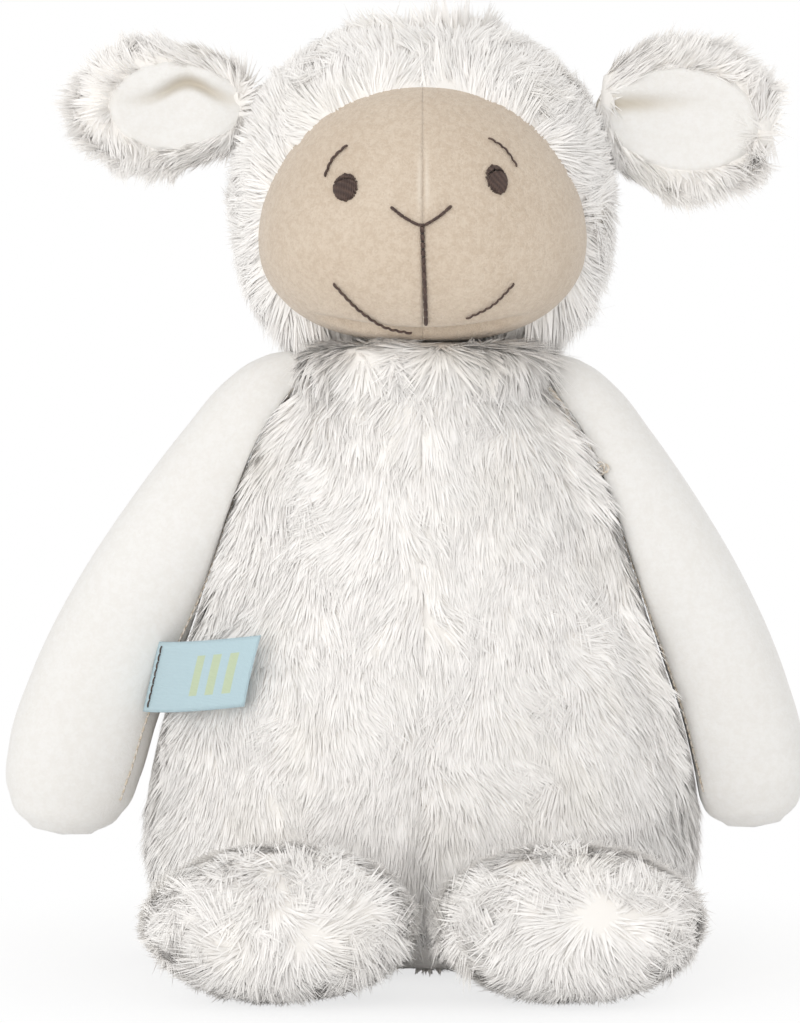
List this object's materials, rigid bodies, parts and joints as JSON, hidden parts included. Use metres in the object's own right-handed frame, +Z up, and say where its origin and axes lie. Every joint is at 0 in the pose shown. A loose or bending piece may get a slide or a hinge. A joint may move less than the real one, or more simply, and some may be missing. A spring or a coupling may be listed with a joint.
{
  "type": "plush sheep",
  "caption": "Seated stuffed toy sheep with long-pile body, head, ears and legs, smooth arms, a tan embroidered face and a folded ribbon label.",
  "frame": {"origin": "middle of the flat seat that the sheep sits on", "axes": "+Z up along the seated body, -Y the way the face looks, +X to the sheep's own left"},
  "size_m": [0.2229, 0.1842, 0.263],
  "materials": {
    "pile": "long matted pile, cream white",
    "smooth": "short smooth pile, cream white",
    "face": "short napped velour, tan",
    "thread": "dark brown satin thread",
    "ribbon": "woven ribbon, light blue",
    "seam": "gathered fabric edge and thread",
    "filling": "loose polyester fibre",
    "pellets": "cotton pouch of plastic pellets"
  },
  "bodies": {
    "torso": {"torso_front_right_panel": "pile", "torso_front_left_panel": "pile", "torso_back_right_panel": "pile", "torso_back_left_panel": "pile", "seat_panel": "pile", "torso_filling": "filling", "pellet_pouch": "pellets"},
    "neck": {"neck_seam": "seam"},
    "head": {"head_right_panel": "pile", "head_left_panel": "pile", "face_right_panel": "face", "face_left_panel": "face", "head_filling": "filling", "eye_right": "thread", "eye_left": "thread", "brow_right": "thread", "brow_left": "thread", "nose_stitch": "thread", "mouth_stitch": "thread", "smile_right": "thread", "smile_left": "thread"},
    "tail": {"tail_panel": "pile"},
    "label": {"side_label": "ribbon", "label_stitches": "thread"},
    "ear_right": {"ear_right_panel": "pile", "ear_right_lining": "smooth"},
    "shoulder_right": {"shoulder_right_seam": "seam"},
    "arm_right": {"arm_right_front_panel": "smooth", "arm_right_back_panel": "smooth", "arm_right_filling": "filling"},
    "leg_right": {"leg_right_panel": "pile", "sole_right_panel": "pile", "leg_right_filling": "filling"},
    "ear_left": {"ear_left_panel": "pile", "ear_left_lining": "smooth"},
    "shoulder_left": {"shoulder_left_seam": "seam"},
    "arm_left": {"arm_left_front_panel": "smooth", "arm_left_back_panel": "smooth", "arm_left_filling": "filling"},
    "leg_left": {"leg_left_panel": "pile", "sole_left_panel": "pile", "leg_left_filling": "filling"}
  },
  "joints": [
    {"name": "neck_turn", "type": "hinge", "parent": "torso", "child": "neck", "pos_m": [0, 0, 0.165], "axis": [0, 0, 1], "range_deg": [-30, 30], "stiffness_Nm_per_rad": 0.3},
    {"name": "head_nod", "type": "hinge", "parent": "neck", "child": "head", "pos_m": [0, 0, 0.165], "axis": [1, 0, 0], "range_deg": [-8, 12], "stiffness_Nm_per_rad": 0.6},
    {"name": "ear_right_flap", "type": "hinge", "parent": "head", "child": "ear_right", "pos_m": [-0.04518, 0.004, 0.238], "axis": [0, 0, 1], "range_deg": [-25, 25], "stiffness_Nm_per_rad": 0.02},
    {"name": "ear_left_flap", "type": "hinge", "parent": "head", "child": "ear_left", "pos_m": [0.04518, 0.004, 0.238], "axis": [0, 0, -1], "range_deg": [-25, 25], "stiffness_Nm_per_rad": 0.02},
    {"name": "arm_right_swing", "type": "hinge", "parent": "torso", "child": "shoulder_right", "pos_m": [-0.04302, -0.004, 0.151], "axis": [-1, 0, 0], "range_deg": [-2, 90], "stiffness_Nm_per_rad": 0.1},
    {"name": "arm_right_lift", "type": "hinge", "parent": "shoulder_right", "child": "arm_right", "pos_m": [-0.04302, -0.004, 0.151], "axis": [0, 1, 0], "range_deg": [0, 60], "stiffness_Nm_per_rad": 0.1},
    {"name": "arm_left_swing", "type": "hinge", "parent": "torso", "child": "shoulder_left", "pos_m": [0.04302, -0.004, 0.151], "axis": [-1, 0, 0], "range_deg": [-25, 90], "stiffness_Nm_per_rad": 0.1},
    {"name": "arm_left_lift", "type": "hinge", "parent": "shoulder_left", "child": "arm_left", "pos_m": [0.04302, -0.004, 0.151], "axis": [0, -1, 0], "range_deg": [0, 60], "stiffness_Nm_per_rad": 0.1},
    {"name": "leg_right_swing", "type": "hinge", "parent": "torso", "child": "leg_right", "pos_m": [-0.036, -0.044, 0.025], "axis": [-1, 0, 0], "range_deg": [-25, 20], "stiffness_Nm_per_rad": 0.5},
    {"name": "leg_left_swing", "type": "hinge", "parent": "torso", "child": "leg_left", "pos_m": [0.036, -0.044, 0.025], "axis": [-1, 0, 0], "range_deg": [-25, 20], "stiffness_Nm_per_rad": 0.5},
    {"name": "tail_wag", "type": "hinge", "parent": "torso", "child": "tail", "pos_m": [0, 0.05662, 0.03801], "axis": [0, 0, 1], "range_deg": [-25, 25], "stiffness_Nm_per_rad": 0.02},
    {"name": "label_flip", "type": "hinge", "parent": "arm_right", "child": "label", "pos_m": [-0.07497, -0.0152, 0.08], "axis": [-0.225, 0, -0.9744], "range_deg": [0, 55], "stiffness_Nm_per_rad": 0.001}
  ]
}
